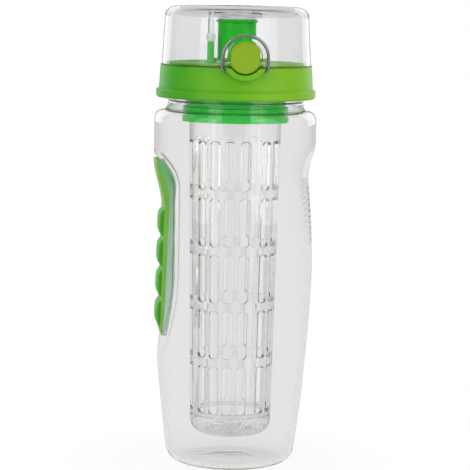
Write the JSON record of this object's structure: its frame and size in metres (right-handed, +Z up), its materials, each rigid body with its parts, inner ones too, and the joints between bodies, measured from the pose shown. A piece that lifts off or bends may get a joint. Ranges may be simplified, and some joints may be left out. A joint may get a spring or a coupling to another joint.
{
  "type": "fruit infuser water bottle",
  "caption": "Clear water bottle with a finger grip, a green screw lid, a clear flip cap with a push button over the spout, and a slotted infuser hanging inside.",
  "frame": {"origin": "middle of the standing ring, on the surface that the bottle stands on", "axes": "+Z up the bottle's axis; -Y towards the button; -X towards the finger grip; +Y towards the hinge"},
  "size_m": [0.089, 0.0944, 0.255],
  "materials": {
    "clear_copolyester": "clear, polished",
    "green_polypropylene": "semi-gloss moulded",
    "spout_polypropylene": "semi-gloss moulded",
    "lime_polypropylene": "satin moulded",
    "grip_polypropylene": "satin moulded",
    "green_rubber": "soft matt",
    "silicone": "translucent matt",
    "stainless_steel": "drawn wire"
  },
  "bodies": {
    "bottle": {"bottle_body": "clear_copolyester", "grip_pad": "grip_polypropylene", "finger_strip": "green_rubber"},
    "neck_seal": {"neck_gasket": "silicone"},
    "lid": {"lid_ring": "green_polypropylene", "spout": "spout_polypropylene", "spout_ring": "silicone", "vent_valve": "green_polypropylene", "hinge_pin": "stainless_steel", "cap_spring": "stainless_steel", "button_spring": "stainless_steel"},
    "cap": {"flip_cap": "clear_copolyester", "spout_seal": "silicone", "vent_stopper": "silicone"},
    "button": {"release_button": "lime_polypropylene"},
    "bail": {"lock_bail": "stainless_steel"},
    "infuser_seal": {"collar_gasket": "silicone"},
    "infuser": {"infuser_collar": "green_polypropylene", "infuser_basket": "clear_copolyester"},
    "infuser_end": {"basket_cap": "clear_copolyester"}
  },
  "joints": [
    {"name": "lid_rise", "type": "slide", "parent": "bottle", "child": "neck_seal", "axis": [0, 0, 1], "range_m": [0, 0.00751]},
    {"name": "lid_turn", "type": "hinge", "parent": "neck_seal", "child": "lid", "pos_m": [0, 0, 0.2105], "axis": [0, 0, 1], "range_deg": [0, 540]},
    {"name": "cap_flip", "type": "hinge", "parent": "lid", "child": "cap", "pos_m": [0, 0.04503, 0.2196], "axis": [-1, 0, 0], "range_deg": [0, 165], "deforming": ["cap_spring"]},
    {"name": "button_press", "type": "slide", "parent": "lid", "child": "button", "axis": [0, 1, 0], "range_m": [0, 0.0022], "stiffness_N_per_m": 400, "springref_m": -0.0005, "deforming": ["button_spring"]},
    {"name": "bail_swing", "type": "hinge", "parent": "lid", "child": "bail", "pos_m": [0, -0.0423, 0.2184], "axis": [1, 0, 0], "range_deg": [-12, 144]},
    {"name": "infuser_drop", "type": "slide", "parent": "lid", "child": "infuser_seal", "axis": [0, 0, -1], "range_m": [0, 0.00601]},
    {"name": "infuser_turn", "type": "hinge", "parent": "infuser_seal", "child": "infuser", "pos_m": [0, 0, 0.2], "axis": [0, 0, -1], "range_deg": [0, 540]},
    {"name": "end_twist", "type": "hinge", "parent": "infuser", "child": "infuser_end", "pos_m": [0, 0, 0.027], "axis": [0, 0, -1], "range_deg": [0, 90]}
  ],
  "couplings": [
    {"joint": "lid_rise", "follows": "lid_turn", "m_per_rad": 0.00079577},
    {"joint": "infuser_drop", "follows": "infuser_turn", "m_per_rad": 0.00063662}
  ]
}
